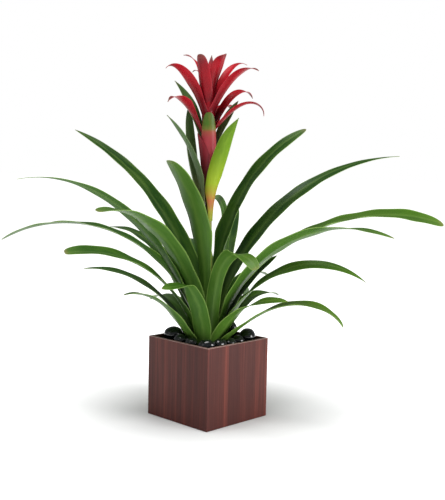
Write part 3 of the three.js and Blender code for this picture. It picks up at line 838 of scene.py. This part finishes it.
def turned_piece(name, profile, material):
    """A round piece about the leaning stem's line, from radius and height in millimetres."""
    radii, heights = zip(*profile)
    levels = np.linspace(heights[0], heights[-1], TURN_ROWS + 1)
    reach = np.interp(levels, heights, radii)
    turn = np.linspace(0, 2 * math.pi, TURN_SEGMENTS, endpoint=False)
    points = [
        (radius * math.cos(angle) * MM, radius * math.sin(angle) * MM, level * MM)
        for level, radius in zip(levels, reach)
        for angle in turn
    ]
    last = TURN_ROWS * TURN_SEGMENTS
    faces = [tuple(range(TURN_SEGMENTS)), tuple(range(last, last + TURN_SEGMENTS))]
    for i in range(TURN_ROWS):
        for j in range(TURN_SEGMENTS):
            a = i * TURN_SEGMENTS + j
            b = i * TURN_SEGMENTS + (j + 1) % TURN_SEGMENTS
            faces.append((a, b, b + TURN_SEGMENTS, a + TURN_SEGMENTS))
    return mesh_piece(name, leaned(points).tolist(), faces, material)


def make_leaves(green):
    rng = random.Random(SEED)
    for name, leaf in LEAVES.items():
        blades = Blades()
        blades.add(dict(LEAF_HABIT, **leaf), LEAF_ROW, LEAF_ACROSS, rng)
        blades.finish(name + "_blade", green, "leaf_green", name)


def make_bracts(finishes):
    """The bracts on the stem and round the bloom's neck, with the finish of each one's slot."""
    rng = random.Random(SEED + 1)
    slots = dict(bract_yellow_green="bract_yellow", bract_neck="bract_pink", bract_neck_left="scape_red")
    for name, bract in (GREEN_BRACTS | NECK_BRACTS).items():
        slot = slots.get(name, "bract_green")
        blades = Blades()
        blades.add(dict(BRACT_HABIT, **bract), BRACT_ROW, BRACT_ACROSS, rng, lean=True)
        blades.finish(name + "_blade", finishes[slot], slot, name)


def make_bloom(red, core):
    """The red bracts as one mesh, and the core that they stand round."""
    rng = random.Random(SEED + 2)
    blades = Blades()
    for bract in RED_BRACTS:
        own = dict(RED_HABIT, **bract)
        own["tone"] = rng.uniform(*RED_TONES)
        blades.add(own, BRACT_ROW, BRACT_ACROSS, rng, lean=True)
    blades.finish("bloom_bracts", red, "bloom_red", "bloom")
    carry(turned_piece("bloom_core", CORE_PROFILE, core), "bloom")


def make_scape(material):
    carry(turned_piece("scape_stem", SCAPE_PROFILE, material), "scape")


def stone_axes(name):
    """Centre of the part's stone, its three axes, and how far it reaches along them."""
    low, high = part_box(name)
    centre = (low + high) / 2
    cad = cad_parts[name].data
    outline = np.array([vertex.co for vertex in cad.vertices], float) - np.array(centre)
    axes = np.linalg.eigh(outline.T @ outline)[1]
    return centre, axes, np.abs(outline @ axes).max(axis=0)


def make_stones(material):
    """A smooth pebble in place of each stone of the part, a little uneven."""
    names = sorted(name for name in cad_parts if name.startswith("stone_"))
    for index, name in enumerate(names):
        centre, axes, reach = stone_axes(name)
        shape = bmesh.new()
        bmesh.ops.create_icosphere(shape, subdivisions=PEBBLE_DETAIL, radius=1)
        shift = Vector((index * LUMP_SHIFT, 0, 0))
        for vertex in shape.verts:
            lump = 1 + PEBBLE_LUMP * (noise.noise(vertex.co * LUMP_SCALE + shift) - 0.5)
            local = np.array(vertex.co) * reach * lump
            vertex.co = centre + Vector(axes @ local)
        bmesh.ops.recalc_face_normals(shape, faces=shape.faces)
        mesh = bpy.data.meshes.new(name + "_pebble")
        shape.to_mesh(mesh)
        shape.free()
        mesh.shade_smooth()
        carry(add_piece(name + "_pebble", mesh, material), name)


def finish_node(name, material):
    """Gives the part's own solid this finish."""
    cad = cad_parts[name]
    cad.data.materials.clear()
    cad.data.materials.append(material)


def make_floor():
    """A matt white floor that glows a little, and more and more past the plant, so it has no horizon."""
    finish = Finish("floor_white", Roughness=0.9, Specular_IOR_Level=0.0, Emission_Color=WHITE)
    mottle = finish.noise(finish.place(), scale=3)
    white = finish.ramp(mottle, [(0.3, colour(226, 226, 226)), (0.7, colour(229, 229, 229))])
    finish.shade("Base Color", white)
    away = finish.node("VectorMath", {0: finish.place()}, operation="LENGTH").outputs["Value"]
    finish.shade("Emission Strength", finish.span(away, FLOOR_NEAR, FLOOR_FAR, first=FLOOR_GLOW))
    bpy.ops.mesh.primitive_circle_add(
        vertices=FLOOR_SIDES, radius=FLOOR_RADIUS, fill_type="NGON", location=(0, 0, -FLOOR_DROP)
    )
    floor = bpy.context.object
    floor.name = "floor"
    floor.data.materials.append(finish.material)


def make_world():
    """Soft light from all round, and plain white where the camera sees past the floor."""
    world = bpy.data.worlds.new("studio")
    bpy.context.scene.world = world
    world.use_nodes = True
    tree = world.node_tree
    light = tree.nodes["Background"]
    light.inputs["Color"].default_value = SKY_COLOUR
    light.inputs["Strength"].default_value = SKY_STRENGTH
    white = tree.nodes.new("ShaderNodeBackground")
    white.inputs["Color"].default_value = WHITE
    path = tree.nodes.new("ShaderNodeLightPath")
    mix = tree.nodes.new("ShaderNodeMixShader")
    tree.links.new(path.outputs["Is Camera Ray"], mix.inputs[0])
    tree.links.new(light.outputs[0], mix.inputs[1])
    tree.links.new(white.outputs[0], mix.inputs[2])
    tree.links.new(mix.outputs[0], tree.nodes["World Output"].inputs["Surface"])


def add_light(name, place, size, power):
    lamp = bpy.data.lights.new(name, "AREA")
    lamp.shape = "RECTANGLE"
    lamp.size, lamp.size_y = size
    lamp.energy = power
    light = bpy.data.objects.new(name, lamp)
    bpy.context.scene.collection.objects.link(light)
    light.location = place
    light.rotation_mode = "QUATERNION"
    light.rotation_quaternion = (Vector(LIGHT_AIM) - Vector(place)).to_track_quat("-Z", "Y")


def make_camera():
    lens = bpy.data.cameras.new("camera")
    lens.sensor_fit = "AUTO"
    lens.sensor_width = CAMERA_SENSOR
    lens.lens = CAMERA_LENS
    camera = bpy.data.objects.new("camera", lens)
    bpy.context.scene.collection.objects.link(camera)
    camera.location = CAMERA_PLACE
    head, drop = math.radians(CAMERA_HEADING), math.radians(CAMERA_DROP)
    ahead = Vector((math.cos(head) * math.cos(drop), math.sin(head) * math.cos(drop), -math.sin(drop)))
    camera.rotation_mode = "QUATERNION"
    roll = Quaternion((0, 0, 1), math.radians(CAMERA_ROLL))
    camera.rotation_quaternion = ahead.to_track_quat("-Z", "Y") @ roll
    bpy.context.scene.camera = camera


make_camera()
make_world()
for name, settings in LIGHTS.items():
    add_light(name, **settings)
make_floor()
bpy.context.scene.view_settings.view_transform = "Standard"

make_leaves(leaf_green())
make_bracts(
    dict(
        bract_green=bract_green(), bract_yellow=bract_yellow(), bract_pink=bract_pink(),
        scape_red=bract_pink_in_painted_shade(),
    )
)
stem = scape_red()
make_bloom(bloom_red(), stem)
make_scape(stem)
make_stones(river_stone())
finish_node("planter", planter_wood())
finish_node("liner", liner_plastic())
finish_node("soil", soil_dark())
finish_node("rootstock", stock_fibre())
